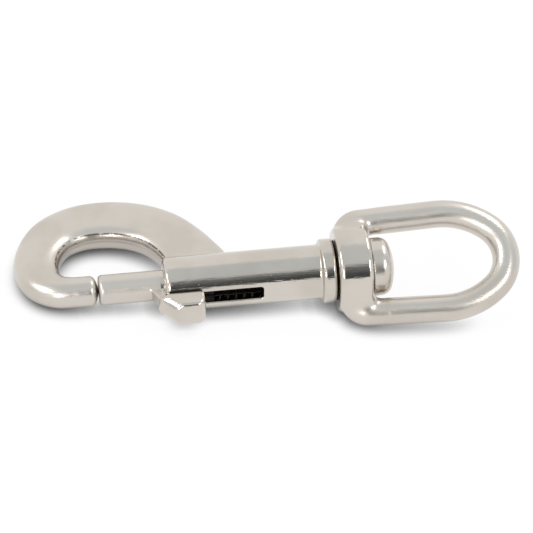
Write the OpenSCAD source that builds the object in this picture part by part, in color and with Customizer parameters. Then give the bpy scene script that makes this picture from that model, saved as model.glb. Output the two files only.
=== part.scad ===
// Swivel bolt snap: a cast hook body, a sprung sliding bolt and a swivel eye held by a rivet.
// Each piece is drawn on the barrel's axis, with the barrel's front face at x = 0, the eye
// towards +X, the hook's spine towards +Y and the hook's plane at z = 0. resting() then lays
// the snap down as it comes to rest on a table.

/* [Hook] */
// Thickness of the hook and its web
hook_t = 6.35; // [5:0.05:8]
// Distance from the barrel's front face to the hook's tip
gate = 13.6; // [10:0.1:16]
// Height of the domed end of the hook's tip
tip_dome = 1.6; // [0.5:0.1:2.5]
// How far the cast parting line stands out round the hook
parting_h = 0.12; // [0:0.01:0.3]

/* [Barrel] */
// Outside diameter of the barrel
barrel_d = 11.4; // [10:0.1:13]
// Length from the barrel's front face to the back of its collar
barrel_len = 35.8; // [32:0.1:42]
// Rounding of the barrel's front rim
rim_r = 0.9; // [0.2:0.1:1.5]
// Outside diameter of the rear collar
collar_d = 13.5; // [12:0.1:16]
// Thickness of the rear collar
collar_t = 2.9; // [2:0.1:4]
// Length of the thumb slot, which is open at the front
slot_len = 20.4; // [18:0.1:24]
// Width of the thumb slot
slot_w = 2.85; // [2:0.05:4]

/* [Bolt] */
// Diameter of the sliding bolt
bolt_d = 6.35; // [5.5:0.05:7]
// Radial running fit of the bolt in its bore
bolt_fit = 0.08; // [0.02:0.01:0.2]
// Rounding of the bolt's nose
nose_r = 0.8; // [0.2:0.1:1.5]
// Clearance between the bolt's nose and the hook's tip when shut
nose_gap = 0.05; // [0.02:0.01:0.3]
// How far the bolt's tail reaches behind the barrel's front face
tail_x = 10.4; // [9.5:0.1:12]

/* [Thumb tab] */
// Front end of the tab, measured from the barrel's front face
tab_front = -1.8; // [-3:0.1:0]
// Back end of the tab
tab_back = 7.9; // [6:0.1:9]
// Length of the slope at the tab's front
tab_slope = 2.6; // [1:0.1:4]
// Height of the tab, square to the hook's plane
tab_h = 5.7; // [4:0.1:8]
// Distance from the barrel's axis to the edges of the tab's outer face
tab_reach = 10.6; // [9:0.1:13]
// How far the middle of the tab's outer face stands out beyond its edges
tab_crown = 0.4; // [0.1:0.1:0.4]
// Rounding of the tab's edges
tab_r = 0.9; // [0.5:0.1:1.5]
// Radius of the tab's rear outer corner
tab_corner = 2; // [1.6:0.1:3]
// How far the tab's front curves back towards its two sides
tab_sweep = 1.5; // [0:0.1:1.6]

/* [Spring] */
// Wire diameter of the bolt's spring
wire_d = 0.5; // [0.4:0.05:0.8]
// Mean diameter of the spring's coils
coil_d = 5.2; // [4:0.1:5.5]
// Number of coils
coils = 11; // [8:1:13]
// Length of the spring with the bolt shut
spring_len = 19.2; // [16:0.1:21]

/* [Swivel rivet] */
// Diameter of the rivet's shank
rivet_d = 5; // [4:0.1:6]
// Radial running fit of the eye on the shank
rivet_fit = 0.1; // [0.05:0.01:0.2]
// Clearance on each side of the eye's boss
end_gap = 0.3; // [0.1:0.05:0.5]
// Diameter of the rivet's domed head
head_d = 12.2; // [10:0.1:14]
// Height of the rivet's domed head
head_h = 5; // [3.5:0.1:6]

/* [Swivel eye] */
// Outside diameter of the eye's boss
boss_d = 17.8; // [16:0.1:20]
// Length of the boss along the rivet
boss_len = 7.1; // [6.5:0.1:9]
// Rounding of the boss's two edges
boss_r = 0.9; // [0.4:0.1:1.4]
// Diameter of the bar that the eye is made of
eye_bar = 5.75; // [5:0.05:6]
// Inside width of the eye at its widest
eye_w = 14.8; // [14.2:0.1:16]
// Inside length of the eye, from the boss to the bow
eye_len = 26.5; // [24:0.1:34]
// Radius of the bar's centreline round the end of the bow
end_r = 8.4; // [7:0.1:9]
// Radius of the bar's centreline at the two corners beside the boss
corner_r = 3; // [3:0.1:4]
// Angle by which each limb leans outwards from the boss to the bow
splay = 1.8; // [0:0.1:3]

/* [Rest] */
// Turn of the eye on its rivet, from the hook's plane
eye_turn = 36; // [0:1:36]
// Turn about the barrel's axis at which the snap lies
rest_roll = -2.1; // [-20:0.01:20]
// Slope of the barrel's axis as the snap lies
rest_pitch = -4.8; // [-10:0.01:10]

/* [Hidden] */
$fn = 64;

// Shift that centres the box of the snap as it lies on the origin, and stands it on z = 0.
rest_shift = [-22.376, -8.285, 5.776];

barrel_r = barrel_d / 2;
bolt_r = bolt_d / 2;
bar_r = eye_bar / 2;
chamber_x = tail_x + spring_len;
eye_x = barrel_len + end_gap;
head_x = eye_x + boss_len + end_gap;
head_seat = 0.1;
tab_lift = 0.3;
stem_w = slot_w - 0.3;
stem_sink = 0.9;
stem_brace = 1.4;
overlap = 0.5;

// The eye's centreline, in its own plane: a corner that starts inside the boss, a straight limb,
// a side arc and the end of the bow, each running on from the last.
cross_inset = 0.2;
cross_x = eye_x + bar_r + cross_inset;
half_w = eye_w / 2 + bar_r;
end_x = eye_x + boss_len + eye_len + bar_r - end_r;
end_turn = 50;
side_r = (half_w - end_r * sin(end_turn)) / (1 - sin(end_turn));
side_at = [end_x, 0] + (end_r - side_r) * [cos(end_turn), sin(end_turn)];
limb_end = side_at + side_r * [-sin(splay), cos(splay)];
corner_x = cross_x + corner_r;
corner_y = limb_end[1] - (limb_end[0] - corner_x) * tan(splay) - corner_r / cos(splay);

// The hook's centreline from the tip round to the barrel: x, y, width across the bar in the
// hook's plane, and bluntness of the section (2 is an ellipse, more is flatter on top).
hook_rows = [
    [-gate, 0, 6.35, 2],
    [-18.4, 0, 6.35, 2],
    [-22.1, 0.8, 7.4, 2.1],
    [-24.8, 3.6, 8.7, 2.2],
    [-25.7, 8.4, 9.5, 2.3],
    [-24.4, 13.8, 10.1, 2.4],
    [-21.1, 18.6, 11, 2.6],
    [-15.8, 21.4, 11.7, 2.8],
    [-9.6, 21.8, 12, 3],
    [-3.7, 20.3, 12.2, 3],
    [1.2, 17, 12.2, 3],
    [4.7, 12.3, 12.2, 3],
    [6.8, 7.8, 12.8, 3],
    [7.8, 4.4, 14, 3],
    [8.2, 0.6, 15, 3]
];
hook_steps = 4;
ring_sides = 28;
bar_sides = 24;

// Value at t between b and c on the smooth curve through a, b, c and d.
function smooth(a, b, c, d, t) =
    0.5 * (2 * b + (c - a) * t + (2 * a - 5 * b + 4 * c - d) * t * t
        + (3 * b - a - 3 * c + d) * t * t * t);

// Row i of hook_rows, with one more row carried on in a straight line at each end.
function hook_row(i) =
    i < 0 ? 2 * hook_rows[0] - hook_rows[1]
    : i >= len(hook_rows) ? 2 * hook_rows[len(hook_rows) - 1] - hook_rows[len(hook_rows) - 2]
    : hook_rows[i];

// Row at the running position s, which is 0 at the tip and grows by 1 from row to row.
function hook_at(s) =
    let (i = min(floor(s), len(hook_rows) - 2))
    smooth(hook_row(i - 1), hook_row(i), hook_row(i + 1), hook_row(i + 2), s - i);

// Unit direction of the hook's centreline at s.
function hook_way(s) =
    let (step = 0.02, a = hook_at(max(s - step, 0)), b = hook_at(s + step),
        d = [b[0] - a[0], b[1] - a[1]])
    d / norm(d);

// Cosine or sine v bent to a section of bluntness n.
function bulge(v, n) = sign(v) * pow(abs(v), 2 / n);

// Ring of points round the hook at row, square to way and scaled by size, with the parting line
// standing out at its inner and outer edges.
function hook_ring(row, way, size) = [
    for (k = [0:ring_sides - 1])
        let (a = 360 * k / ring_sides,
            ridge = k % (ring_sides / 2) == 0 ? parting_h : 0,
            across = (row[2] / 2 * bulge(cos(a), row[3]) + ridge * cos(a)) * size,
            up = hook_t / 2 * bulge(sin(a), row[3]) * size)
        [row[0] + way[1] * across, row[1] - way[0] * across, up]
];

// Solid skinned over rings that all have the same number of points.
module skin(rings) {
    n = len(rings[0]);
    last = len(rings) - 1;
    sides = [
        for (i = [0:last - 1], k = [0:n - 1])
            let (a = i * n + k, b = i * n + (k + 1) % n)
            each [[a, b, b + n], [a, b + n, a + n]]
    ];
    caps = [[for (k = [n - 1:-1:0]) k], [for (k = [0:n - 1]) last * n + k]];
    polyhedron(points = [for (ring = rings) each ring], faces = concat(sides, caps));
}

// The hook from its domed tip to the root inside the barrel.
module hook_bar() {
    tip = hook_at(0);
    way = hook_way(0);
    dome = [
        for (a = [75:-15:15])
            hook_ring([tip[0] + way[0] * tip_dome * (1 - sin(a)), tip[1], tip[2], tip[3]], way, cos(a))
    ];
    bar = [
        for (j = [0:(len(hook_rows) - 1) * hook_steps])
            let (s = j / hook_steps, row = hook_at(s))
            hook_ring([row[0] + (j == 0 ? way[0] * tip_dome : 0), row[1], row[2], row[3]], hook_way(s), 1)
    ];
    skin(concat(dome, bar));
}

// Rectangle from the origin to (x, y) with its corners at x rounded, r_low at the bottom and
// r_high at the top.
module turned_profile(x, y, r_low, r_high) {
    square([x - max(r_low, r_high), y]);
    translate([0, r_low]) square([x, y - r_low - r_high]);
    translate([x - r_low, r_low]) circle(r_low);
    translate([x - r_high, y - r_high]) circle(r_high);
}

// Turned disc of radius r and length h along +X, with its two edges rounded.
module turned(r, h, r_low, r_high) {
    rotate([0, 90, 0]) rotate_extrude() intersection() {
        turned_profile(r, h, r_low, r_high);
        square([r, h]);
    }
}

// Plain rod of radius r along +X from x0 to x1.
module rod(r, x0, x1) {
    translate([x0, 0, 0]) rotate([0, 90, 0]) cylinder(r = r, h = x1 - x0);
}

// Slot for the tab's stem, through the near wall and open at the front.
module slot_cut() {
    translate([-overlap, -2 * barrel_r, -slot_w / 2]) cube([slot_len + overlap, 2 * barrel_r, slot_w]);
}

module hook_body() {
    color("silver") resting() difference() {
        union() {
            turned(barrel_r, barrel_len - overlap, rim_r, 0.1);
            translate([barrel_len - collar_t, 0, 0]) turned(collar_d / 2, collar_t, 0.8, 0.8);
            hook_bar();
        }
        rod(bolt_r + bolt_fit, -overlap, chamber_x);
        rod(rivet_d / 2, chamber_x - overlap, eye_x);
        slot_cut();
    }
}

// Thumb tab: a rounded block with a sloping front and a crowned outer face.
module tab_block() {
    side_z = tab_h / 2 - tab_r;
    edge_y = tab_r - tab_reach;
    swing = tab_corner - tab_r;
    rear = [for (a = [-90:30:0]) [tab_back - tab_corner + swing * cos(a), edge_y + swing * (1 + sin(a))]];
    inner_y = -barrel_r - tab_lift - tab_r;
    front = [[tab_front + tab_r, inner_y], [tab_front + tab_r, edge_y + tab_slope],
        [tab_front + tab_slope + tab_r, edge_y]];
    sides = concat([for (p = front) p + [tab_sweep, 0]], rear, [[tab_back - tab_r, inner_y]]);
    crown = [[tab_front + tab_slope + tab_r, edge_y - tab_crown], rear[0] - [0, tab_crown]];
    hull() {
        for (p = sides, side = [-1, 1])
            translate([p[0], p[1], side * side_z]) sphere(tab_r, $fn = 24);
        for (p = front, side = [-1, 1])
            translate([p[0], p[1], side * side_z / 3]) sphere(tab_r, $fn = 24);
        for (p = crown)
            translate([p[0], p[1], 0]) sphere(tab_r, $fn = 24);
    }
}

// Stem from the bolt out through the slot, with a brace in front of the tab.
module tab_stem() {
    root_y = -bolt_r + stem_sink;
    inner_y = -barrel_r - tab_r;
    back_x = tab_back - tab_lift;
    translate([0, 0, -stem_w / 2]) linear_extrude(stem_w) polygon([
        [tab_front - stem_brace, root_y], [tab_front + tab_r, inner_y], [back_x, inner_y], [back_x, root_y]
    ]);
}

module bolt() {
    color("gainsboro") resting() union() {
        translate([nose_gap - gate, 0, 0]) turned(bolt_r, tail_x + gate - nose_gap, nose_r, 0.4);
        tab_stem();
        tab_block();
    }
}

module bolt_spring() {
    per_turn = 16;
    wire_sides = 7;
    pitch = (spring_len - wire_d) / coils;
    rings = [
        for (i = [0:coils * per_turn])
            let (turn = 360 * i / per_turn)
            [for (k = [0:wire_sides - 1])
                let (a = 360 * k / wire_sides,
                    r = coil_d / 2 + wire_d / 2 * cos(a),
                    x = tail_x + wire_d / 2 + pitch * i / per_turn + wire_d / 2 * sin(a))
                [x, r * cos(turn), r * sin(turn)]]
    ];
    color("dimgray") resting() skin(rings);
}

module swivel_rivet() {
    crown_r = 13;
    corner = 2.3;
    color("lightgray") resting() union() {
        rod(rivet_d / 2, chamber_x, head_x + overlap);
        translate([head_x, 0, 0]) rotate([0, 90, 0]) rotate_extrude() intersection() {
            turned_profile(head_d / 2, head_h, 0.4, corner);
            translate([0, head_h - crown_r]) circle(crown_r, $fn = 200);
            square([head_d / 2, head_h]);
        }
    }
}

// Row of bar_rows at the angle a of an arc of radius r about centre: x, y and the way outwards.
function arc_row(centre, r, a) = [centre[0] + r * cos(a), centre[1] + r * sin(a), a];

// The eye's bar on the +Y side, from inside the boss to the end of the bow.
bar_rows = concat(
    [for (i = [0:6]) arc_row([corner_x, corner_y], corner_r, 180 + (splay - 90) * i / 6)],
    [for (i = [0:5]) arc_row(side_at, side_r, 90 + splay + (end_turn - 90 - splay) * i / 5)],
    [for (i = [1:5]) arc_row([end_x, 0], end_r, end_turn * (1 - i / 5))]
);

// Ring of points round the bar at row; side is 1, or -1 for the mirrored half.
function bar_ring(row, side) = [
    for (k = [0:bar_sides - 1])
        let (a = 360 * k / bar_sides, out = bar_r * cos(a))
        [row[0] + out * cos(row[2]), side * (row[1] + out * sin(row[2])), -bar_r * sin(a)]
];

// The eye's whole bar, from one side of the boss round to the other.
module eye_bow() {
    last = len(bar_rows) - 1;
    skin(concat(
        [for (i = [0:last]) bar_ring(bar_rows[i], 1)],
        [for (i = [last - 1:-1:0]) bar_ring(bar_rows[i], -1)]
    ));
}

// Web that blends the bar's corner on the +Y side into the boss.
module eye_web() {
    sink = 1;
    hull() {
        rod(boss_d / 2 - sink, eye_x + boss_r, eye_x + boss_len - boss_r, $fn = 32);
        translate([corner_x - sink, corner_y + corner_r - sink, 0]) sphere(bar_r - cross_inset, $fn = 24);
    }
}

module swivel_eye() {
    color("silver") resting() rotate([eye_turn, 0, 0]) difference() {
        union() {
            translate([eye_x, 0, 0]) turned(boss_d / 2, boss_len, boss_r, boss_r);
            eye_bow();
            eye_web();
            mirror([0, 1, 0]) eye_web();
        }
        rod(rivet_d / 2 + rivet_fit, eye_x - overlap, head_x);
        rod(head_d / 2 + end_gap, eye_x + boss_len - head_seat, head_x + head_h);
    }
}

// Lays a piece down as the whole snap comes to rest.
module resting() {
    translate(rest_shift) rotate([0, rest_pitch, 0]) rotate([rest_roll, 0, 0]) children();
}

hook_body();
bolt();
bolt_spring();
swivel_rivet();
swivel_eye();
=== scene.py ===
"""Dresses the swivel bolt snap: polished castings, rivet and spring, on a pale table in a studio.

The castings are modelled in millimetres on the barrel's axis, with the barrel's front face at
x = 0 and the eye towards +X, and are then laid down in metres as the snap rests.
"""

from __future__ import annotations

import logging
import math
from dataclasses import dataclass, field
from enum import Enum
from typing import Callable, Iterable, Sequence

import bmesh
import bpy
from bpy.types import ID, Material, Node, NodeSocket, NodeTree, Object
from mathutils import Matrix, Vector

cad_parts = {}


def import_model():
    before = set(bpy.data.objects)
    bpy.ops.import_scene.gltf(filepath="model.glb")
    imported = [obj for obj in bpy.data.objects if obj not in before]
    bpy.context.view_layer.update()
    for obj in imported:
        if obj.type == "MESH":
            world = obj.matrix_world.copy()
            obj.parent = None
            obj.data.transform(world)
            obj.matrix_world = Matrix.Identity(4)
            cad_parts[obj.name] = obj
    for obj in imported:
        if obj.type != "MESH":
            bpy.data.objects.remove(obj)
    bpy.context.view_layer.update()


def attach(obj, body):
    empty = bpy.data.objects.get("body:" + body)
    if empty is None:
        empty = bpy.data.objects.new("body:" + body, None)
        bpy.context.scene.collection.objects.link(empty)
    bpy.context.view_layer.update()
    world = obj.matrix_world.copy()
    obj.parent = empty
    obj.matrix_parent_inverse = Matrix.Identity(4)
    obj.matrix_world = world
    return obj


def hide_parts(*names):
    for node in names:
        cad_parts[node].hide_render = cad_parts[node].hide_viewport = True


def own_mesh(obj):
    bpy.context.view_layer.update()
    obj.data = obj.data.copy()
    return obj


LOG = logging.getLogger("snap")
MM = 0.001

Place = Callable[[float, float], Vector]


class Body(Enum):
    """The bodies that the pieces ride on."""

    HOOK = "hook"
    BOLT = "bolt"
    EYE = "eye"


# ---------------------------------------------------------------- the way the snap lies


@dataclass(frozen=True)
class Rest:
    """How the snap lies on the table, from its own axes to the table's."""

    roll: float = -2.1
    pitch: float = -4.8
    shift: tuple[float, float, float] = (-22.376, -8.285, 5.776)

    def turn(self) -> Matrix:
        """Returns the turn alone."""
        roll = Matrix.Rotation(math.radians(self.roll), 4, "X")
        return Matrix.Rotation(math.radians(self.pitch), 4, "Y") @ roll

    def matrix(self) -> Matrix:
        """Returns the placing of a mesh in millimetres, on the barrel's axis, in the frame."""
        return Matrix.Scale(MM, 4) @ Matrix.Translation(self.shift) @ self.turn()


REST = Rest()


# ---------------------------------------------------------------- modelling with bmesh


def placed(name: str, data: ID) -> Object:
    """Puts a mesh, camera or light in the scene as an object, and returns it."""
    piece = bpy.data.objects.new(name, data)
    bpy.context.scene.collection.objects.link(piece)
    return piece


class Shape:
    """A closed shape in millimetres, built from rings, and turned into a mesh object."""

    def __init__(self) -> None:
        """Starts an empty shape."""
        self.bm = bmesh.new()

    def ring(self, count: int, place: Place) -> list[bmesh.types.BMVert]:
        """Adds a ring of points.

        Args:
            count: The number of points.
            place: Gives a point's place from the cosine and sine of its angle.

        Returns:
            The ring's points.
        """
        verts = bmesh.ops.create_circle(self.bm, cap_ends=False, radius=1, segments=count)["verts"]
        for vert in verts:
            vert.co = place(vert.co.x, vert.co.y)
        return verts

    def loft(self, rings: Sequence[list[bmesh.types.BMVert]]) -> None:
        """Joins each ring to the next, and closes the two ends.

        Args:
            rings: The rings in order.
        """
        loops = [self.loop(ring) for ring in rings]
        for first, second in zip(loops, loops[1:]):
            bmesh.ops.bridge_loops(self.bm, edges=first + second)
        for ring in (rings[0], rings[-1]):
            bmesh.ops.contextual_create(self.bm, geom=ring)

    @staticmethod
    def loop(ring: Iterable[bmesh.types.BMVert]) -> list[bmesh.types.BMEdge]:
        """Returns the edges that run round a ring, before anything is joined to it."""
        return list({edge for vert in ring for edge in vert.link_edges})

    def revolve(self, profile: Sequence[tuple[float, float]], steps: int = 160) -> None:
        """Turns a profile about the barrel's axis.

        Args:
            profile: Points as (place along the axis, radius), in order.
            steps: The number of sides.
        """
        verts = [self.bm.verts.new((x, 0, r)) for x, r in profile]
        edges = [self.bm.edges.new(pair) for pair in zip(verts, verts[1:])]
        bmesh.ops.spin(
            self.bm, geom=verts + edges, cent=(0, 0, 0), axis=(1, 0, 0), dvec=(0, 0, 0),
            angle=math.tau, steps=steps, use_merge=True, use_duplicate=False,
        )
        bmesh.ops.remove_doubles(self.bm, verts=self.bm.verts, dist=1e-4)

    def block(self, low: Sequence[float], high: Sequence[float]) -> list[bmesh.types.BMVert]:
        """Adds a plain block between two corners, and returns its points."""
        verts = bmesh.ops.create_cube(self.bm, size=1)["verts"]
        for vert in verts:
            vert.co = [a + (b - a) * (c + 0.5) for a, b, c in zip(low, high, vert.co)]
        return verts

    def rod(self, radius: float, start: float, end: float) -> None:
        """Adds a plain rod of that radius on the axis, from start to end."""
        self.revolve([(start, 0), (start, radius), (end, radius), (end, 0)])

    def ball(self, centre: Sequence[float], radius: float) -> None:
        """Adds a ball of that radius about a centre."""
        place = Matrix.Translation(centre)
        bmesh.ops.create_uvsphere(self.bm, u_segments=32, v_segments=16, radius=radius, matrix=place)

    def wrap(self) -> None:
        """Replaces everything added so far by one skin stretched tight over it."""
        bmesh.ops.delete(self.bm, geom=[*self.bm.edges, *self.bm.faces], context="EDGES_FACES")
        made = bmesh.ops.convex_hull(self.bm, input=self.bm.verts)
        spare = {item for item in made["geom_interior"] + made["geom_unused"]
                 if isinstance(item, bmesh.types.BMVert)}
        bmesh.ops.delete(self.bm, geom=list(spare), context="VERTS")

    def object(self, name: str) -> Object:
        """Closes the shape.

        Args:
            name: The object's name.

        Returns:
            An object in millimetres, with its faces outwards.
        """
        bmesh.ops.recalc_face_normals(self.bm, faces=self.bm.faces)
        mesh = bpy.data.meshes.new(name)
        self.bm.to_mesh(mesh)
        self.bm.free()
        return placed(name, mesh)


def fillet(radius: float, centre: tuple[float, float], start: float, end: float,
           steps: int = 8) -> list[tuple[float, float]]:
    """Points of a rounded corner of a turned profile.

    Args:
        radius: The corner's radius.
        centre: Its centre, as (place along the axis, radius from it).
        start: The first angle in degrees, where 0 points along the axis and 90 outwards.
        end: The last angle.
        steps: The number of steps.

    Returns:
        The points in order.
    """
    turns = [math.radians(start + (end - start) * i / steps) for i in range(steps + 1)]
    return [(centre[0] + radius * math.cos(a), centre[1] + radius * math.sin(a)) for a in turns]


def baked(piece: Object) -> Object:
    """Applies a piece's modifiers and returns the piece."""
    graph = bpy.context.evaluated_depsgraph_get()
    mesh = bpy.data.meshes.new_from_object(piece.evaluated_get(graph))
    piece.modifiers.clear()
    old, piece.data = piece.data, mesh
    bpy.data.meshes.remove(old)
    return piece


def combined(piece: Object, other: Object, operation: str) -> Object:
    """Adds one solid to another, or cuts it away.

    Args:
        piece: The solid that is kept.
        other: The solid that is used up.
        operation: UNION or DIFFERENCE.

    Returns:
        The first solid, changed.
    """
    tool = piece.modifiers.new(operation.title(), "BOOLEAN")
    tool.operation = operation
    tool.object = other
    tool.solver = "MANIFOLD"
    baked(piece)
    bpy.data.objects.remove(other)
    return piece


def cast(piece: Object, voxel: float, rounds: int) -> Object:
    """Gives a solid the even skin and soft edges of a tumbled casting.

    Args:
        piece: The solid, in millimetres.
        voxel: The spacing of its skin's points.
        rounds: How many times the skin is smoothed.

    Returns:
        The same object.
    """
    remesh = piece.modifiers.new("Skin", "REMESH")
    remesh.mode = "VOXEL"
    remesh.voxel_size = voxel
    smooth = piece.modifiers.new("Tumbled", "SMOOTH")
    smooth.factor = 0.5
    smooth.iterations = rounds
    return baked(piece)


def raised(piece: Object, height: Callable[[Vector, Vector], float]) -> None:
    """Moves a piece's points along their normals.

    Args:
        piece: The piece, in millimetres.
        height: Gives how far a point moves, from its place and its normal.
    """
    places = [(v.co.copy(), v.normal.copy()) for v in piece.data.vertices]
    for vert, (place, normal) in zip(piece.data.vertices, places):
        vert.co = place + normal * height(place, normal)


def softened(piece: Object, inside: Callable[[Vector], bool], rounds: int) -> None:
    """Smooths one region of a piece, such as a junction that has a wide fillet.

    Args:
        piece: The piece, in millimetres.
        inside: Tells whether a point is in the region.
        rounds: How many times it is smoothed.
    """
    bm = bmesh.new()
    bm.from_mesh(piece.data)
    verts = [vert for vert in bm.verts if inside(vert.co)]
    for _ in range(rounds):
        bmesh.ops.smooth_vert(
            bm, verts=verts, factor=0.5, use_axis_x=True, use_axis_y=True, use_axis_z=True
        )
    bm.to_mesh(piece.data)
    bm.free()


def laid(piece: Object, body: Body, node: str, finish: Material) -> Object:
    """Lays a finished piece down as the snap rests, and dresses it.

    Args:
        piece: The piece, in millimetres on the barrel's axis.
        body: The body that it rides on.
        node: The node that it stands for.
        finish: Its material.

    Returns:
        The piece.
    """
    piece.data.transform(REST.matrix())
    piece.data.polygons.foreach_set("use_smooth", [True] * len(piece.data.polygons))
    piece.data.materials.clear()
    piece.data.materials.append(finish)
    piece.data.update()
    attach(piece, body.value)
    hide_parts(node)
    triangles = sum(len(face.vertices) - 2 for face in piece.data.polygons)
    LOG.info("%s: %d triangles, on body %s", piece.name, triangles, body.value)
    return piece


# ---------------------------------------------------------------- shader maths


class Value:
    """A socket that takes part in plain arithmetic."""

    def __init__(self, shader: "Shader", socket: NodeSocket) -> None:
        """Wraps a socket of a shader."""
        self.shader = shader
        self.socket = socket

    def maths(self, operation: str, *values: "Value | float") -> "Value":
        """Returns the result of one Math node on these values."""
        inputs = dict(enumerate(values))
        return self.shader.node("ShaderNodeMath", {"operation": operation}, inputs)

    def __add__(self, other: "Value | float") -> "Value":
        """Returns the sum."""
        return self.maths("ADD", self, other)

    def __radd__(self, other: float) -> "Value":
        """Returns the sum, with the number first."""
        return self.maths("ADD", other, self)

    def __sub__(self, other: "Value | float") -> "Value":
        """Returns the difference."""
        return self.maths("SUBTRACT", self, other)

    def __rsub__(self, other: float) -> "Value":
        """Returns the difference, with the number first."""
        return self.maths("SUBTRACT", other, self)

    def __mul__(self, other: "Value | float") -> "Value":
        """Returns the product."""
        return self.maths("MULTIPLY", self, other)

    def __rmul__(self, other: float) -> "Value":
        """Returns the product, with the number first."""
        return self.maths("MULTIPLY", other, self)

    def __truediv__(self, other: "Value | float") -> "Value":
        """Returns the quotient."""
        return self.maths("DIVIDE", self, other)

    def __abs__(self) -> "Value":
        """Returns the size without the sign."""
        return self.maths("ABSOLUTE", self)

    def step(self, low: float, high: float) -> "Value":
        """Returns a smooth rise from 0 at low to 1 at high, or a fall if low is the greater."""
        start, end, ends = (low, high, (0.0, 1.0)) if low < high else (high, low, (1.0, 0.0))
        settings = {"interpolation_type": "SMOOTHSTEP"}
        inputs = {"Value": self, "From Min": start, "From Max": end, "To Min": ends[0], "To Max": ends[1]}
        return self.shader.node("ShaderNodeMapRange", settings, inputs)

    def between(self, before: float, start: float, end: float, after: float) -> "Value":
        """Returns 1 from start to end, with smooth falls to 0 at before and after."""
        return self.step(before, start) * self.step(after, end)


class Shader:
    """A node tree that is written as expressions."""

    def __init__(self, tree: NodeTree) -> None:
        """Starts a tree afresh."""
        self.tree = tree
        tree.nodes.clear()

    def make(self, kind: str, settings: dict[str, object], inputs: dict[str | int, object]) -> Node:
        """Adds a node.

        Args:
            kind: The node's type.
            settings: The node's own properties, which are set first.
            inputs: Values or links of its sockets, by name or number.

        Returns:
            The node.
        """
        node = self.tree.nodes.new(kind)
        for key, value in settings.items():
            setattr(node, key, value)
        for key, value in inputs.items():
            if isinstance(value, Value):
                self.tree.links.new(value.socket, node.inputs[key])
            else:
                node.inputs[key].default_value = value
        return node

    def node(self, kind: str, settings: dict[str, object], inputs: dict[str | int, object],
             output: str | int = 0) -> Value:
        """Adds a node and returns one of its outputs, as make does."""
        return Value(self, self.make(kind, settings, inputs).outputs[output])

    def parts(self, vector: Value) -> tuple[Value, Value, Value]:
        """Returns the x, y and z of a vector."""
        split = self.make("ShaderNodeSeparateXYZ", {}, {0: vector})
        x, y, z = (Value(self, socket) for socket in split.outputs)
        return x, y, z

    def blend(self, factor: Value, low: Value | tuple[float, ...], high: Value | tuple[float, ...]) -> Value:
        """Returns a colour between two others."""
        settings = {"data_type": "RGBA"}
        return self.node("ShaderNodeMix", settings, {0: factor, 6: low, 7: high}, 2)

    def noise(self, where: Value, scale: float, detail: float = 2.0) -> Value:
        """Returns a noise from 0 to 1 at that scale, in waves to one unit of the place given."""
        return self.node("ShaderNodeTexNoise", {}, {"Vector": where, "Scale": scale, "Detail": detail})


# ---------------------------------------------------------------- finishes


def tint(red: float, green: float, blue: float) -> tuple[float, float, float, float]:
    """Returns an opaque colour."""
    return (red, green, blue, 1.0)


WHITE = tint(1.0, 1.0, 1.0)


def started(name: str) -> tuple[Material, Shader]:
    """Starts a material, and returns it with its shader."""
    material = bpy.data.materials.new(name)
    material.use_nodes = True
    return material, Shader(material.node_tree)


def on_axis(shader: Shader) -> Value:
    """Returns a point's place in millimetres on the barrel's own axes."""
    where = shader.node("ShaderNodeTexCoord", {}, {}, "Object")
    inputs = {"Vector": where, "Location": Vector(REST.shift) * MM, "Rotation": REST.turn().to_euler(),
              "Scale": (MM, MM, MM)}
    return shader.node("ShaderNodeMapping", {"vector_type": "TEXTURE"}, inputs)


@dataclass(frozen=True)
class Zone:
    """A round zone about the barrel's axis, in millimetres."""

    start: float
    end: float
    radius: float
    edge: float = 0.3

    def mask(self, shader: Shader, place: Value) -> Value:
        """Returns 1 inside the zone and 0 outside.

        Args:
            shader: The shader that it belongs to.
            place: The point's place on the barrel's axes.
        """
        x, y, z = shader.parts(place)
        square = y * y + z * z
        away = square.maths("SQRT", square)
        inside = away.step(self.radius + self.edge, self.radius - self.edge)
        return inside * x.between(self.start - self.edge, self.start, self.end, self.end + self.edge)


@dataclass(frozen=True)
class Crease:
    """The two edges of an oval opening's wall, in millimetres, with a painted dark reflection and polish
    residue along them and painted shade on the wall between.

    The opening's middle and reach are given in plan, and the edges lie at plus and minus the height.
    """

    middle: tuple[float, float]
    reach: tuple[float, float]
    height: float
    half_width: float = 0.21
    core: float = 0.3
    # The share of painted shade on the wall between the edges.
    film: float = 0.28
    outside: tuple[float, float] = (1.7, 1.4)
    above_barrel: tuple[float, float] = (5.6, 6.6)
    break_scale: float = 1.1
    breaks: tuple[float, float] = (0.36, 0.52)

    def mask(self, shader: Shader, place: Value) -> Value:
        """Returns 1 on the broken lines along the edges, a little on the wall between, and 0 elsewhere.

        Args:
            shader: The shader that it belongs to.
            place: The point's place on the barrel's axes.
        """
        x, y, z = shader.parts(place)
        across = (x - self.middle[0]) / self.reach[0]
        along = (y - self.middle[1]) / self.reach[1]
        inside = (across * across + along * along).step(*self.outside) * y.step(*self.above_barrel)
        # The broken lines along the edges are a painted dark reflection and polish residue.
        line = abs(abs(z) - self.height).step(self.half_width, self.half_width * self.core)
        line = line * shader.noise(place, self.break_scale, 3.0).step(*self.breaks)
        # The wall between the edges gets a share of painted shade.
        wall = abs(z).step(self.height, self.height - self.half_width) * self.film
        return inside * line.maths("MAXIMUM", line, wall)


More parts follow.
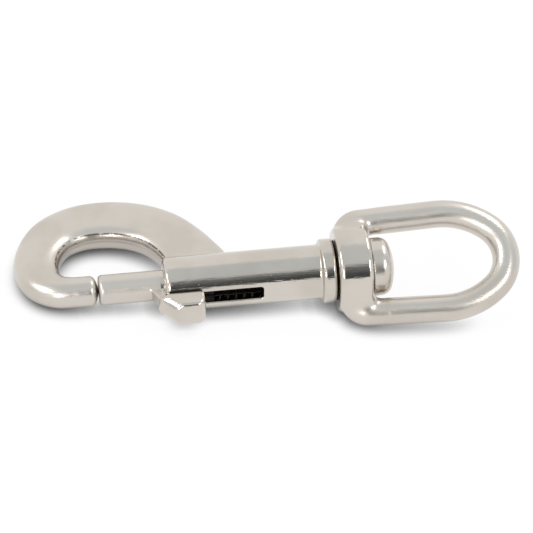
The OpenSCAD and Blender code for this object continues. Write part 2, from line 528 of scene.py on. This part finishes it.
@dataclass(frozen=True)
class NickelPlate:
    """Bright nickel on a cast and tumbled body: a faint swell and pits under the plate, fine rub marks along
    it, and a slightly duller, warmer film in patches. The turned zone is mirror bright. The shaded zones are
    painted shade: nearly black in the bore and in the gaps between parts, where shade falls. The crease's
    edges carry a painted dark reflection and polish residue, with painted shade on the wall between."""

    name: str = "nickel_plate"
    turned: Zone | None = None
    # Zones of painted shade: nearly black in the bore and the gaps between parts, where shade falls.
    painted_shade_zones: tuple[Zone, ...] = ()
    crease: Crease | None = None
    bright: tuple[float, ...] = tint(0.630, 0.588, 0.535)
    dull: tuple[float, ...] = tint(0.580, 0.535, 0.478)
    # Painted shade: the near black of the shaded zones.
    grease_and_painted_shade: tuple[float, ...] = tint(0.020, 0.016, 0.014)
    # Painted dark reflection and polish residue on the crease's edges, and painted shade on its wall.
    residue_and_painted_shade: tuple[float, ...] = tint(0.150, 0.118, 0.102)
    cast_roughness: float = 0.28
    turned_roughness: float = 0.07
    film_roughness: float = 0.05
    # Roughness and loss of metal in the zones of painted shade, which make them darker still.
    shaded_zone_roughness: float = 0.45
    shaded_zone_metal_drop: float = 0.7
    film_scale: float = 0.09
    film_edge: tuple[float, float] = (0.42, 0.68)
    swell_scale: float = 0.26
    swell_height: float = 0.11
    rub_scale: float = 3.4
    rub_stretch: float = 0.15
    rub_height: float = 0.036
    pit_scale: float = 2.2
    pit_edge: tuple[float, float] = (0.70, 0.78)
    pit_depth: float = 0.020
    bump_strength: float = 0.6

    def bump(self, shader: Shader, place: Value) -> Value:
        """Returns the normal of the plate's skin.

        Args:
            shader: The shader that it belongs to.
            place: The point's place on the barrel's axes.
        """
        stretch = (self.rub_stretch, 1.0, 1.0)
        drawn = shader.node("ShaderNodeMapping", {}, {"Vector": place, "Scale": stretch})
        swell = shader.noise(place, self.swell_scale, 1.0)
        rub = shader.noise(drawn, self.rub_scale, 2.0)
        pits = shader.noise(place, self.pit_scale, 3.0).step(*self.pit_edge)
        height = swell * self.swell_height + rub * self.rub_height - pits * self.pit_depth
        inputs = {"Strength": self.bump_strength, "Distance": MM, "Height": height}
        return shader.node("ShaderNodeBump", {}, inputs)

    def material(self) -> Material:
        """Returns the material."""
        material, shader = started(self.name)
        place = on_axis(shader)
        film = shader.noise(place, self.film_scale, 3.0).step(*self.film_edge)
        colour = shader.blend(film, self.bright, self.dull)
        roughness = film * self.film_roughness + self.cast_roughness
        metal: Value | float = 1.0
        if self.turned:
            mask = self.turned.mask(shader, place)
            roughness = roughness - mask * (self.cast_roughness - self.turned_roughness)
        # Painted shade: each zone in the bore or in a gap between parts goes nearly black, rough and less
        # metallic.
        for zone in self.painted_shade_zones:
            mask = zone.mask(shader, place)
            colour = shader.blend(mask, colour, self.grease_and_painted_shade)
            roughness = roughness + mask * (self.shaded_zone_roughness - self.turned_roughness)
            metal = metal - mask * self.shaded_zone_metal_drop
        # Paints the crease: a dark reflection and polish residue on its edges, and shade on its wall.
        if self.crease:
            colour = shader.blend(self.crease.mask(shader, place), colour, self.residue_and_painted_shade)
        surface = shader.node("ShaderNodeBsdfPrincipled", {}, {
            "Base Color": colour, "Metallic": metal, "Roughness": roughness,
            "Normal": self.bump(shader, place),
        })
        shader.make("ShaderNodeOutputMaterial", {}, {"Surface": surface})
        return material


@dataclass(frozen=True)
class SpringWire:
    """Drawn steel wire, painted dark as shade inside the bore, with darker, duller patches of grease."""

    name: str = "spring_steel"
    # The wire's colours are painted shade: dark for the wire inside the bore, and darker still in its greasy
    # patches.
    steel_in_painted_shade: tuple[float, ...] = tint(0.060, 0.056, 0.052)
    grease_and_painted_shade: tuple[float, ...] = tint(0.020, 0.017, 0.015)
    film_scale: float = 1.4
    film_edge: tuple[float, float] = (0.35, 0.60)
    film_roughness: float = 0.15
    film_depth: float = 0.6
    roughness: float = 0.30
    mark_scale: float = 9.0
    mark_depth: float = 0.0002
    mark_strength: float = 0.2

    def material(self) -> Material:
        """Returns the material."""
        material, shader = started(self.name)
        place = on_axis(shader)
        film = shader.noise(place, self.film_scale, 3.0).step(*self.film_edge)
        marks = shader.noise(place, self.mark_scale, 2.0)
        surface = shader.node("ShaderNodeBsdfPrincipled", {}, {
            "Base Color": shader.blend(film, self.steel_in_painted_shade, self.grease_and_painted_shade),
            "Metallic": 1.0 - film * self.film_depth,
            "Roughness": film * self.film_roughness + self.roughness,
            "Normal": shader.node("ShaderNodeBump", {}, {
                "Strength": self.mark_strength, "Distance": self.mark_depth, "Height": marks}),
        })
        shader.make("ShaderNodeOutputMaterial", {}, {"Surface": surface})
        return material


# ---------------------------------------------------------------- hook body


@dataclass
class HookBody:
    """The hook, its web, the barrel and the collar, cast as one."""

    thickness: float = 6.35
    dome: float = 1.6
    barrel_r: float = 5.7
    barrel_len: float = 35.8
    rim_r: float = 0.9
    collar_r: float = 6.75
    collar_t: float = 2.9
    collar_edge: float = 0.55
    bore_r: float = 3.255
    bore_end: float = 29.6
    shank_r: float = 2.5
    slot_len: float = 20.4
    slot_w: float = 2.85
    parting: float = 0.10
    parting_w: float = 0.22
    parting_fade: float = 1.6
    parting_on_barrel: float = 0.35
    voxel: float = 0.235
    rounds: int = 7
    sides: int = 96
    steps: int = 14
    # The section's x, y, width and bluntness, from the tip to the root inside the barrel.
    rows: list[tuple[float, float, float, float]] = field(default_factory=lambda: [
        (-13.6, 0, 6.35, 2), (-18.4, 0, 6.35, 2), (-22.1, 0.8, 7.4, 2.1), (-24.8, 3.6, 8.7, 2.2),
        (-25.7, 8.4, 9.5, 2.3), (-24.4, 13.8, 10.1, 2.4), (-21.1, 18.6, 11, 2.6),
        (-15.8, 21.4, 11.7, 2.8), (-9.6, 21.8, 12, 3), (-3.7, 20.3, 12.2, 3), (1.2, 17, 12.2, 3),
        (4.7, 12.3, 12.2, 3), (6.8, 7.8, 12.8, 3), (7.8, 4.4, 14, 3), (8.2, 0.6, 15, 3),
    ])

    def row(self, i: int) -> Vector:
        """Returns row i, with one more row carried on in a straight line at each end."""
        rows = [Vector(row) for row in self.rows]
        if i < 0:
            return 2 * rows[0] - rows[1]
        if i >= len(rows):
            return 2 * rows[-1] - rows[-2]
        return rows[i]

    def at(self, s: float) -> Vector:
        """Returns the hook's x, y, width and bluntness at s, on a smooth curve through the rows."""
        i = min(int(s), len(self.rows) - 2)
        a, b, c, d = (self.row(i + k) for k in (-1, 0, 1, 2))
        t = s - i
        return 0.5 * (2 * b + (c - a) * t + (2 * a - 5 * b + 4 * c - d) * t * t
                      + (3 * b - a - 3 * c + d) * t * t * t)

    def way(self, s: float) -> Vector:
        """Returns the direction of the hook's centreline at s."""
        step = 0.02
        a, b = self.at(max(s - step, 0)), self.at(s + step)
        return Vector((b[0] - a[0], b[1] - a[1], 0)).normalized()

    def section(self, row: Vector, way: Vector, size: float) -> Place:
        """Returns the rule that places a ring's points round the hook.

        Args:
            row: The hook's x, y, width and bluntness there.
            way: The direction of the centreline.
            size: The ring's size, which is under 1 on the domed tip.
        """
        power = 2 / row[3]
        out = Vector((way.y, -way.x, 0))

        def place(cosine: float, sine: float) -> Vector:
            """Returns the point at that cosine and sine."""
            across = row[2] / 2 * math.copysign(abs(cosine) ** power, cosine) * size
            up = self.thickness / 2 * math.copysign(abs(sine) ** power, sine) * size
            return Vector((row[0], row[1], 0)) + out * across + Vector((0, 0, up))

        return place

    def hook(self) -> Object:
        """Returns the hook from its domed tip to the root inside the barrel."""
        shape = Shape()
        rings = []
        tip, way = self.at(0), self.way(0)
        for angle in range(80, 0, -10):  # the domed tip, a ring for every ten degrees
            turn = math.radians(angle)
            row = tip + Vector((*(way.xy * self.dome * (1 - math.sin(turn))), 0, 0))
            rings.append(shape.ring(self.sides, self.section(row, way, math.cos(turn))))
        last = (len(self.rows) - 1) * self.steps
        for j in range(last + 1):
            s = j / self.steps
            row = self.at(s)
            if j < self.steps:
                start = tip + Vector((*(way.xy * self.dome), 0, 0))
                row = start.lerp(self.at(1), s)
            rings.append(shape.ring(self.sides, self.section(row, self.way(s), 1)))
        shape.loft(rings)
        return shape.object("hook_blade")

    def barrel(self) -> Object:
        """Returns the barrel with its rounded rim and its collar."""
        r, rim, edge = self.barrel_r, self.rim_r, self.collar_edge
        collar_x = self.barrel_len - self.collar_t
        profile = [(0, 0), *fillet(rim, (rim, r - rim), 180, 90), (collar_x, r)]
        profile += fillet(edge, (collar_x + edge, self.collar_r - edge), 180, 90)
        profile += fillet(edge, (self.barrel_len - edge, self.collar_r - edge), 90, 0)
        profile += [(self.barrel_len, 0)]
        shape = Shape()
        shape.revolve(profile)
        return shape.object("barrel_casting")

    def hollows(self) -> list[Object]:
        """Returns the solids to cut away: the bolt's bore, the rivet's hole and the slot."""
        past = 2.0
        bore, shank, slot = Shape(), Shape(), Shape()
        bore.rod(self.bore_r, -past, self.bore_end)
        shank.rod(self.shank_r, self.bore_end - past, self.barrel_len + past)
        half = self.slot_w / 2
        slot.block((-past, -2 * self.barrel_r, -half), (self.slot_len, 0, half))
        return [bore.object("bore"), shank.object("shank_hole"), slot.object("slot")]

    def seam(self, place: Vector, normal: Vector) -> float:
        """Returns the height of the parting line at a point."""
        over, under = 0.2, 0.5
        side = max(0.0, 1 - abs(normal.z) * self.parting_fade)
        away = math.hypot(place.y, place.z)
        on_barrel = away < self.collar_r + over and place.x > 0
        if on_barrel and away < self.barrel_r - under:
            return 0.0
        height = self.parting * (self.parting_on_barrel if on_barrel else 1.0)
        return height * side * math.exp(-((place.z / self.parting_w) ** 2))

    def build(self, finish: Material) -> Object:
        """Builds the casting and returns it, dressed."""
        piece = combined(self.barrel(), self.hook(), "UNION")
        for hollow in self.hollows():
            combined(piece, hollow, "DIFFERENCE")
        cast(piece, self.voxel, self.rounds)
        raised(piece, self.seam)
        return laid(piece, Body.HOOK, "hook_body", finish)


# ---------------------------------------------------------------- bolt


@dataclass
class Bolt:
    """The sliding bolt with its thumb tab, cast as one."""

    radius: float = 3.175
    nose_x: float = -13.55
    nose_r: float = 0.8
    tail_x: float = 10.4
    tail_r: float = 0.4
    tab_front: float = -1.8
    tab_back: float = 7.9
    tab_slope: float = 2.6
    tab_h: float = 5.7
    tab_reach: float = 10.6
    tab_crown: float = 0.4
    tab_r: float = 0.9
    tab_corner: float = 2.0
    tab_inner: float = 6.9
    tab_sweep: float = 1.5
    tab_bend: float = 0.96
    parting: float = 0.06
    parting_w: float = 0.16
    stem_w: float = 2.55
    stem_root: float = 2.27
    stem_brace: float = 1.4
    stem_front: float = 0.9
    stem_back: float = 0.3
    voxel: float = 0.15
    rounds: int = 6

    def rod(self) -> Object:
        """Returns the bolt itself, with its rounded nose and tail."""
        r, nose, tail = self.radius, self.nose_r, self.tail_r
        profile = [(self.nose_x, 0), *fillet(nose, (self.nose_x + nose, r - nose), 180, 90)]
        profile += [*fillet(tail, (self.tail_x - tail, r - tail), 90, 0), (self.tail_x, 0)]
        shape = Shape()
        shape.revolve(profile)
        return shape.object("bolt_casting")

    def tab(self) -> Object:
        """Returns the thumb tab: a crowned pad with a sloping front that curves back at its sides."""
        r, corner = self.tab_r, self.tab_corner
        side = self.tab_h / 2 - r
        edge = r - self.tab_reach
        nose = self.tab_front + r
        shape = Shape()
        for i in range(-4, 5):
            level = i / 4
            # Part of a circle. The last factor brings it to the whole sweep at the tab's sides.
            back = nose + self.tab_sweep * (1 - math.sqrt(1 - self.tab_bend * level * level)) * 1.25
            crown = self.tab_crown * (1 - level * level)
            for x, y in ((back, -self.tab_inner), (back, edge + self.tab_slope),
                         (back + self.tab_slope, edge - crown)):
                shape.ball((x, y, level * side), r)
        for angle in range(-90, 1, 15):
            turn = math.radians(angle)
            x = self.tab_back - corner + (corner - r) * math.cos(turn)
            y = edge + (corner - r) * (1 + math.sin(turn))
            for level in (-1, 1):
                shape.ball((x, y, level * side), r)
        shape.ball((self.tab_back - corner, edge - self.tab_crown, 0), r)
        for level in (-1, 1):
            shape.ball((self.tab_back - r, -self.tab_inner, level * side), r)
        shape.wrap()
        return shape.object("tab")

    def stem(self) -> Object:
        """Returns the stem through the slot, with the brace in front of it."""
        shape = Shape()
        half = self.stem_w / 2
        inner = self.tab_inner
        front, back = self.tab_front, self.tab_back - self.stem_back
        points = [(front - self.stem_brace, -self.stem_root), (front + self.stem_front, -inner),
                  (back, -inner), (back, -self.stem_root)]
        face = shape.bm.faces.new([shape.bm.verts.new((x, y, -half)) for x, y in points])
        grown = bmesh.ops.extrude_face_region(shape.bm, geom=[face])["geom"]
        verts = [item for item in grown if isinstance(item, bmesh.types.BMVert)]
        bmesh.ops.translate(shape.bm, verts=verts, vec=(0, 0, self.stem_w))
        return shape.object("stem")

    def seam(self, place: Vector, normal: Vector) -> float:
        """Returns the height of the parting line, which runs round the tab, at a point."""
        on_tab = 1.0 if place.y < -self.tab_inner else 0.0
        across = math.exp(-((place.z / self.parting_w) ** 2))
        return on_tab * self.parting * across * (1 - abs(normal.z))

    def build(self, finish: Material) -> Object:
        """Builds the casting and returns it, dressed."""
        piece = self.rod()
        combined(piece, self.stem(), "UNION")
        combined(piece, self.tab(), "UNION")
        cast(piece, self.voxel, self.rounds)
        raised(piece, self.seam)
        return laid(piece, Body.BOLT, "bolt", finish)


# ---------------------------------------------------------------- spring


@dataclass
class BoltSpring:
    """The coil spring behind the bolt."""

    wire_r: float = 0.25
    coil_r: float = 2.6
    coils: int = 11
    start: float = 10.42
    length: float = 19.18
    keep: float = 0.336
    sides: int = 14
    steps_per_turn: int = 40

    def build(self, finish: Material) -> Object:
        """Builds the spring and returns it, dressed."""
        shape = Shape()
        pitch = (self.length - 2 * self.wire_r) / self.coils
        verts = shape.ring(self.sides, lambda c, s: Vector((
            self.start + self.wire_r * (1 + s), self.coil_r + self.wire_r * c, 0)))
        geom = verts + Shape.loop(verts)
        steps = self.coils * self.steps_per_turn
        bmesh.ops.spin(
            shape.bm, geom=geom, cent=(0, 0, 0), axis=(1, 0, 0), dvec=(pitch / self.steps_per_turn, 0, 0),
            angle=math.tau * self.coils, steps=steps, use_merge=False, use_duplicate=False,
        )
        bmesh.ops.holes_fill(shape.bm, edges=shape.bm.edges, sides=self.sides)
        piece = laid(shape.object("spring_coil"), Body.HOOK, "bolt_spring", finish)
        along = REST.turn() @ Vector((1, 0, 0))
        seat = REST.matrix() @ Vector((self.start + self.length, 0, 0))
        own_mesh(piece)
        return piece


# ---------------------------------------------------------------- rivet


@dataclass
class SwivelRivet:
    """The headed rivet that the eye turns on."""

    shank_r: float = 2.5
    shank_x: float = 29.6
    head_x: float = 43.5
    head_r: float = 6.1
    head_h: float = 5.0
    corner: float = 2.3
    crown_r: float = 13.0
    edge: float = 0.4

    def build(self, finish: Material) -> Object:
        """Builds the rivet and returns it, dressed."""
        top = self.head_x + self.head_h
        inset = self.head_r - self.corner
        crown_x = top - self.crown_r
        reach = self.crown_r - self.corner
        meet = math.degrees(math.asin(inset / reach))
        corner_x = crown_x + reach * math.cos(math.radians(meet))
        profile = [(self.shank_x, 0), (self.shank_x, self.shank_r), (self.head_x, self.shank_r)]
        profile += fillet(self.edge, (self.head_x + self.edge, self.head_r - self.edge), 180, 90)
        profile += fillet(self.corner, (corner_x, inset), 90, meet, 12)
        profile += fillet(self.crown_r, (crown_x, 0), meet, 0, 10)[1:]
        shape = Shape()
        shape.revolve(profile)
        piece = shape.object("headed_rivet")
        return laid(piece, Body.HOOK, "swivel_rivet", finish)


# ---------------------------------------------------------------- eye


@dataclass
class SwivelEye:
    """The eye: a round boss on the rivet, and a bar bent to a D, cast as one."""

    turn: float = 36.0
    boss_x: float = 36.1
    boss_r: float = 8.9
    boss_len: float = 7.1
    boss_edge: float = 0.9
    bore_r: float = 2.6
    bar_r: float = 2.875
    inside_w: float = 14.8
    inside_len: float = 26.5
    end_r: float = 8.4
    end_turn: float = 50.0
    corner_r: float = 3.0
    corner_gap: float = 0.2
    corner_steps: int = 14
    bow_steps: int = 20
    splay: float = 1.8
    web_sink: float = 0.7
    web_sides: int = 64
    head_room: float = 6.4
    head_seat: float = 0.1
    voxel: float = 0.235
    rounds: int = 7
    sides: int = 72
    junction_rounds: int = 40
    junction_x: tuple[float, float] = (0.6, 3.2)
    junction_bore: float = 1.6
    junction_share: float = 0.78
    junction_past: float = 2.4

    def path(self) -> list[tuple[Vector, float]]:
        """Returns the bar's centreline on the +Y side, each point with its outward angle."""
        splay, end_turn = math.radians(self.splay), math.radians(self.end_turn)
        half_w = self.inside_w / 2 + self.bar_r
        end_x = self.boss_x + self.boss_len + self.inside_len + self.bar_r - self.end_r
        side_r = (half_w - self.end_r * math.sin(end_turn)) / (1 - math.sin(end_turn))
        end = Vector((end_x, 0, 0))
        side = end + (self.end_r - side_r) * Vector((math.cos(end_turn), math.sin(end_turn), 0))
        limb = side + side_r * Vector((-math.sin(splay), math.cos(splay), 0))
        corner_x = self.boss_x + self.bar_r + self.corner_gap + self.corner_r
        corner_y = limb.y - (limb.x - corner_x) * math.tan(splay) - self.corner_r / math.cos(splay)
        start = math.pi / 2 + splay
        corner = self.arc(Vector((corner_x, corner_y, 0)), self.corner_r, math.pi, start, self.corner_steps)
        flank = self.arc(side, side_r, start, end_turn, self.bow_steps)
        bow = self.arc(end, self.end_r, end_turn, 0, self.bow_steps)
        return corner + flank + bow[1:]

    @staticmethod
    def arc(centre: Vector, radius: float, start: float, end: float,
            steps: int) -> list[tuple[Vector, float]]:
        """Points of one arc of the centreline, each with its outward angle.

        Args:
            centre: The arc's centre.
            radius: Its radius.
            start: The first angle in radians, where 0 points along the axis.
            end: The last angle.
            steps: The number of steps.

        Returns:
            The points in order.
        """
        angles = [start + (end - start) * i / steps for i in range(steps + 1)]
        return [(centre + radius * Vector((math.cos(a), math.sin(a), 0)), a) for a in angles]

    def bar(self) -> Object:
        """Returns the whole bar, from one side of the boss round to the other."""
        shape = Shape()
        path = self.path()
        mirrored = [(Vector((p.x, -p.y, 0)), -a) for p, a in reversed(path[:-1])]
        rings = []
        for point, angle in path + mirrored:
            out = Vector((math.cos(angle), math.sin(angle), 0))
            rings.append(shape.ring(self.sides, lambda c, s, p=point, o=out: (
                p + o * (self.bar_r * c) + Vector((0, 0, self.bar_r * s)))))
        shape.loft(rings)
        return shape.object("eye_bar")

    def boss(self) -> Object:
        """Returns the boss, with its two edges rounded."""
        r, edge, x, end = self.boss_r, self.boss_edge, self.boss_x, self.boss_x + self.boss_len
        profile = [(x, 0), *fillet(edge, (x + edge, r - edge), 180, 90)]
        profile += [*fillet(edge, (end - edge, r - edge), 90, 0), (end, 0)]
        shape = Shape()
        shape.revolve(profile)
        return shape.object("eye_casting")

    def web(self, side: int) -> Object:
        """Returns the web that blends the bar's corner into the boss, on the side 1 or -1."""
        elbow, sink = self.path()[self.corner_steps][0], self.web_sink
        radius = self.boss_r - sink
        shape = Shape()
        for x in (self.boss_x + self.boss_edge, self.boss_x + self.boss_len - self.boss_edge):
            shape.ring(self.web_sides, lambda c, s, x=x: Vector((x, radius * c, radius * s)))
        shape.ball((elbow.x - sink, side * (elbow.y - sink), 0), self.bar_r - 0.1)
        shape.wrap()
        return shape.object("eye_web")

    def near_junction(self, place: Vector) -> bool:
        """Tells whether a point is where the bar's corner runs into the boss."""
        before, past = self.junction_x
        away = abs(place.y) - self.junction_share * self.boss_r
        clear_of_bore = math.hypot(place.y, place.z) > self.bore_r + self.junction_bore
        along = self.boss_x + before < place.x < self.boss_x + self.boss_len + past
        return clear_of_bore and away > -self.junction_past and along

    def build(self, finish: Material) -> Object:
        """Builds the casting and returns it, dressed."""
        end, past = self.boss_x + self.boss_len, 2.0
        bore, room = Shape(), Shape()
        bore.rod(self.bore_r, self.boss_x - past, end + past)
        room.rod(self.head_room, end - self.head_seat, end + 3 * past)
        piece = combined(self.boss(), self.bar(), "UNION")
        for side in (1, -1):
            combined(piece, self.web(side), "UNION")
        for hollow in (bore.object("eye_bore"), room.object("head_room")):
            combined(piece, hollow, "DIFFERENCE")
        cast(piece, self.voxel, self.rounds)
        softened(piece, self.near_junction, self.junction_rounds)
        piece.data.transform(Matrix.Rotation(math.radians(self.turn), 4, "X"))
        return laid(piece, Body.EYE, "swivel_eye", finish)


# ---------------------------------------------------------------- studio


@dataclass
class Studio:
    """A white table, a pale surround that is darker in front, four soft strips and the camera."""

    elevation: float = 38.5
    yaw: float = 7.9
    distance: float = 650.0
    aim: tuple[float, float, float] = (22.13, 3.15, 0.0)
    lens: float = 209.4
    sensor: float = 36.0
    table_size: float = 6.0
    shade_reach: float = 0.0046
    shade_edge: tuple[float, float] = (0.05, 0.80)
    shade: tuple[float, ...] = tint(0.03, 0.03, 0.03)
    paper: tuple[tuple[float, ...], ...] = (tint(0.90, 0.90, 0.90), tint(0.92, 0.92, 0.92))
    grain_scale: float = 500.0
    grain_edge: tuple[float, float] = (0.3, 0.7)
    glow: float = 0.93
    # The surround's areas: degrees up from the front horizon, and sideways as a share.
    front_rise: tuple[float, ...] = (12, 15, 44, 57)
    front_side: tuple[float, ...] = (-0.11, -0.03, 0.27, 0.36)
    front_low: tuple[float, ...] = tint(0.075, 0.080, 0.085)
    front_high: tuple[float, ...] = tint(0.26, 0.27, 0.28)
    front_fade: tuple[float, float] = (22, 50)
    above_rise: tuple[float, ...] = (44, 54, 100, 116)
    above_grey: tuple[float, ...] = tint(0.74, 0.785, 0.81)
    strip_width: float = 0.24
    strips: tuple[tuple[str, tuple[float, float, float], float, float], ...] = (
        ("left_strip", (-0.72, -0.20, 0.66), 0.60, 5.6),
        ("right_front_strip", (0.47, -0.58, 0.67), 0.36, 5.5),
        ("right_back_strip", (0.50, 0.36, 0.79), 0.50, 3.4),
        ("left_front_strip", (-0.33, -0.84, 0.42), 0.30, 6.5),
    )

    def camera(self) -> None:
        """Places the camera as it looks at the snap on the barrel's own axes."""
        rise, yaw = math.radians(self.elevation), math.radians(self.yaw)
        back = Vector((-math.cos(rise) * math.sin(yaw), -math.cos(rise) * math.cos(yaw), math.sin(rise)))
        turn = REST.turn() @ (-back).to_track_quat("-Z", "Y").to_matrix().to_4x4()
        data = bpy.data.cameras.new("camera")
        data.sensor_width = self.sensor
        data.lens = self.lens
        data.clip_start, data.clip_end = 0.05, 20.0
        camera = placed("camera", data)
        place = REST.matrix() @ (Vector(self.aim) + back * self.distance)
        camera.matrix_world = Matrix.Translation(place) @ turn
        bpy.context.scene.camera = camera

    def table(self) -> None:
        """Makes the white table, which shows white and keeps the snap's close shadow."""
        shape = Shape()
        bmesh.ops.create_grid(shape.bm, x_segments=1, y_segments=1, size=self.table_size / 2)
        table = shape.object("table")
        material, shader = started("table")
        path = shader.make("ShaderNodeLightPath", {}, {})
        camera, glossy, passing = (Value(shader, path.outputs[name]) for name in (
            "Is Camera Ray", "Is Glossy Ray", "Is Transmission Ray"))
        seen = camera.maths("MAXIMUM", camera.maths("MAXIMUM", camera, glossy), passing)
        close = shader.make("ShaderNodeAmbientOcclusion", {"samples": 16}, {"Distance": self.shade_reach})
        clear = Value(shader, close.outputs["AO"]).step(*self.shade_edge)
        where = shader.node("ShaderNodeTexCoord", {}, {}, "Object")
        grain = shader.noise(where, self.grain_scale, 4.0).step(*self.grain_edge)
        paint = shader.node("ShaderNodeBsdfDiffuse", {}, {"Color": shader.blend(grain, *self.paper)})
        glow = shader.node("ShaderNodeEmission", {}, {
            "Color": shader.blend(clear, self.shade, WHITE), "Strength": 1.0})
        surface = shader.node("ShaderNodeMixShader", {}, {0: seen * self.glow, 1: paint, 2: glow})
        shader.make("ShaderNodeOutputMaterial", {}, {"Surface": surface})
        table.data.materials.append(material)

    def surround(self) -> None:
        """Lights the scene from all round: pale behind and low down, grey above, dark in front."""
        world = bpy.data.worlds.new("surround")
        world.use_nodes = True
        bpy.context.scene.world = world
        shader = Shader(world.node_tree)
        where = shader.node("ShaderNodeTexCoord", {}, {}, "Generated")
        x, y, z = shader.parts(where)
        rise = z.maths("ARCTAN2", z, 0 - y) * math.degrees(1)
        front = rise.between(*self.front_rise) * x.between(*self.front_side)
        above = rise.between(*self.above_rise)
        dark = shader.blend(rise.step(*self.front_fade), self.front_low, self.front_high)
        sky = shader.blend(above, WHITE, self.above_grey)
        sky = shader.blend(front, sky, dark)
        camera = shader.node("ShaderNodeLightPath", {}, {}, "Is Camera Ray")
        sky = shader.blend(camera, sky, WHITE)
        light = shader.node("ShaderNodeBackground", {}, {"Color": sky, "Strength": 1.0})
        shader.make("ShaderNodeOutputWorld", {}, {"Surface": light})

    def strip_light(self, name: str, way: tuple[float, float, float], length: float,
                    bright: float) -> None:
        """Hangs a soft light that runs from front to back.

        Args:
            name: The lamp's name.
            way: The direction from the snap to the middle of the lamp.
            length: How long it is from front to back.
            bright: How bright its face is, where 1 is as bright as the pale surround.
        """
        data = bpy.data.lights.new(name, "AREA")
        data.shape = "RECTANGLE"
        data.size, data.size_y = self.strip_width, length
        data.energy = bright * math.pi * self.strip_width * length
        lamp = placed(name, data)
        out = Vector(way).normalized()
        across = Vector((0, 1, 0)).cross(out).normalized()
        axes = Matrix((across, out.cross(across), out)).transposed().to_4x4()
        lamp.matrix_world = Matrix.Translation(out) @ axes

    def build(self) -> None:
        """Makes the whole studio."""
        bpy.context.scene.view_settings.view_transform = "Standard"
        self.camera()
        self.table()
        self.surround()
        for strip in self.strips:
            self.strip_light(*strip)


# ---------------------------------------------------------------- the whole snap


def main() -> None:
    """Builds the snap and its studio."""
    logging.basicConfig(level=logging.INFO, format="%(name)s: %(message)s")
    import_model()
    Studio().build()
    # The bore, gap, root, tail and under_head zones are painted shade, nearly black where shade falls inside
    # the barrel and slot and between parts. The barrel, tab and boss zones are turned.
    barrel, bore, gap = Zone(-0.2, 36.2, 7.4), Zone(0.4, 29.8, 3.4), Zone(35.5, 36.15, 6.3)
    tab, root, tail = Zone(-0.6, 9.2, 14.0), Zone(0.5, 7.4, 6.95, 0.2), Zone(7.9, 10.8, 3.5)
    boss, under_head = Zone(35.5, 43.4, 9.4, 0.4), Zone(42.9, 43.5, 5.7)
    # The crease in the hook's opening: a painted dark reflection and polish residue on its edges, and
    # painted shade on its wall.
    crease = Crease((-10.0, 8.0), (11.9, 8.4), 1.95)
    hook_plate = NickelPlate("nickel_plate_hook", barrel, (bore, gap), crease)
    bolt_plate = NickelPlate(
        "nickel_plate_bolt", tab, (root, tail), cast_roughness=0.33, turned_roughness=0.12)
    rivet_plate = NickelPlate("nickel_plate_rivet", None, (under_head,), cast_roughness=0.22)
    eye_plate = NickelPlate("nickel_plate_eye", boss, (gap, under_head))
    HookBody().build(hook_plate.material())
    Bolt().build(bolt_plate.material())
    BoltSpring().build(SpringWire().material())
    SwivelRivet().build(rivet_plate.material())
    SwivelEye().build(eye_plate.material())


if __name__ == "__main__":
    main()
